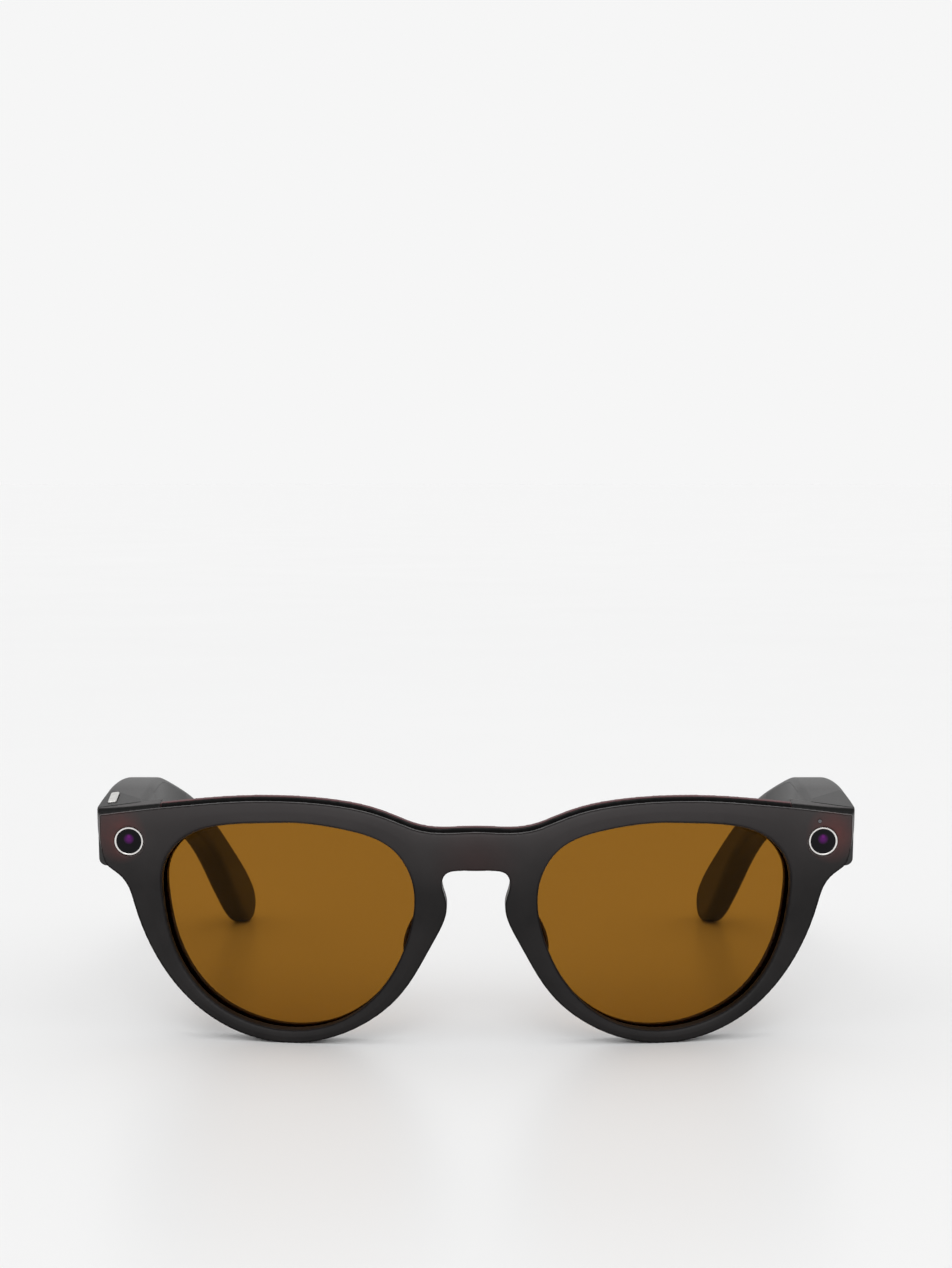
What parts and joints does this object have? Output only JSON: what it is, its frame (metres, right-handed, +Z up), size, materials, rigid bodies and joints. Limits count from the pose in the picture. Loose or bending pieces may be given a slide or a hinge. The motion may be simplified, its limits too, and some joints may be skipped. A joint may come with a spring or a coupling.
{
  "type": "smart glasses",
  "caption": "Folding camera glasses: curved keyhole-bridge front with amber lenses, corner cameras, thick electronics temples, ear hooks, capture button and power switch.",
  "frame": {"origin": "middle of the footprint of the open glasses, on the surface they stand on", "axes": "+X towards the wearer's left, -Y forward out of the lenses, +Z up"},
  "size_m": [0.1502, 0.1364, 0.0481],
  "materials": {
    "frame_front": "fine matte",
    "frame_rear": "fine matte, dark red-brown",
    "temple_shell": "fine matte",
    "temple_cover": "fine matte",
    "lens": "amber tinted, polished",
    "silver_ring": "bright satin",
    "window_glass": "polished dark",
    "module_black": "matte",
    "circuit_board": "solder mask",
    "flex_cable": "polyimide film",
    "hinge_steel": "satin",
    "gold_contact": "plated",
    "shield_metal": "tinned",
    "light_guide": "clear",
    "battery_foil": "pouch foil",
    "mesh_metal": "black woven mesh",
    "button_metal": "satin",
    "switch_plastic": "matte"
  },
  "bodies": {
    "front": {"bridge_microphone": "shield_metal", "camera_board_left": "circuit_board", "camera_board_right": "circuit_board", "camera_module_left": "module_black", "camera_module_right": "module_black", "camera_ring_left": "silver_ring", "camera_ring_right": "silver_ring", "camera_window_left": "window_glass", "camera_window_right": "window_glass", "charging_board": "circuit_board", "charging_contacts": "gold_contact", "endpiece_cover_left": "frame_rear", "endpiece_cover_right": "frame_rear", "front_flat_cable": "flex_cable", "front_frame": "frame_front", "hinge_cable_front_left": "flex_cable", "hinge_cable_front_right": "flex_cable", "hinge_front_leaf_left": "hinge_steel", "hinge_front_leaf_right": "hinge_steel", "hinge_screws": "hinge_steel", "hinge_washers": "hinge_steel", "lens_left": "lens", "lens_right": "lens", "rear_frame_cover": "frame_rear", "recording_light": "light_guide"},
    "left_temple": {"audio_board": "circuit_board", "battery": "battery_foil", "battery_board": "module_black", "hinge_cable_temple_left": "flex_cable", "hinge_temple_leaf_left": "hinge_steel", "power_switch_unit": "module_black", "speaker_left": "module_black", "speaker_mesh_left": "mesh_metal", "temple_cover_left": "temple_cover", "temple_leaf_screws_left": "hinge_steel", "temple_microphone_left": "shield_metal", "temple_shell_left": "temple_shell"},
    "right_temple": {"button_switch": "module_black", "hinge_cable_temple_right": "flex_cable", "hinge_temple_leaf_right": "hinge_steel", "main_board": "circuit_board", "processor_shield": "shield_metal", "speaker_mesh_right": "mesh_metal", "speaker_right": "module_black", "temple_cover_right": "temple_cover", "temple_leaf_screws_right": "hinge_steel", "temple_microphone_right": "shield_metal", "temple_shell_right": "temple_shell", "touch_sensor": "flex_cable"},
    "capture_button": {"capture_button": "button_metal"},
    "power_switch": {"power_switch_slider": "switch_plastic"}
  },
  "joints": [
    {"name": "left_temple_fold", "type": "hinge", "parent": "front", "child": "left_temple", "pos_m": [0.0629, -0.05063, 0.0391], "axis": [0, 0, 1], "range_deg": [0, 87]},
    {"name": "right_temple_fold", "type": "hinge", "parent": "front", "child": "right_temple", "pos_m": [-0.0629, -0.05063, 0.0391], "axis": [0, 0, -1], "range_deg": [0, 78]},
    {"name": "capture_button_press", "type": "slide", "parent": "right_temple", "child": "capture_button", "axis": [0.1307, 0.1756, -0.9757], "range_m": [0, 0.0003], "stiffness_N_per_m": 1500, "springref_m": -0.0003},
    {"name": "power_switch_slide", "type": "slide", "parent": "left_temple", "child": "power_switch", "axis": [0, 1, 0], "range_m": [0, 0.002]}
  ]
}
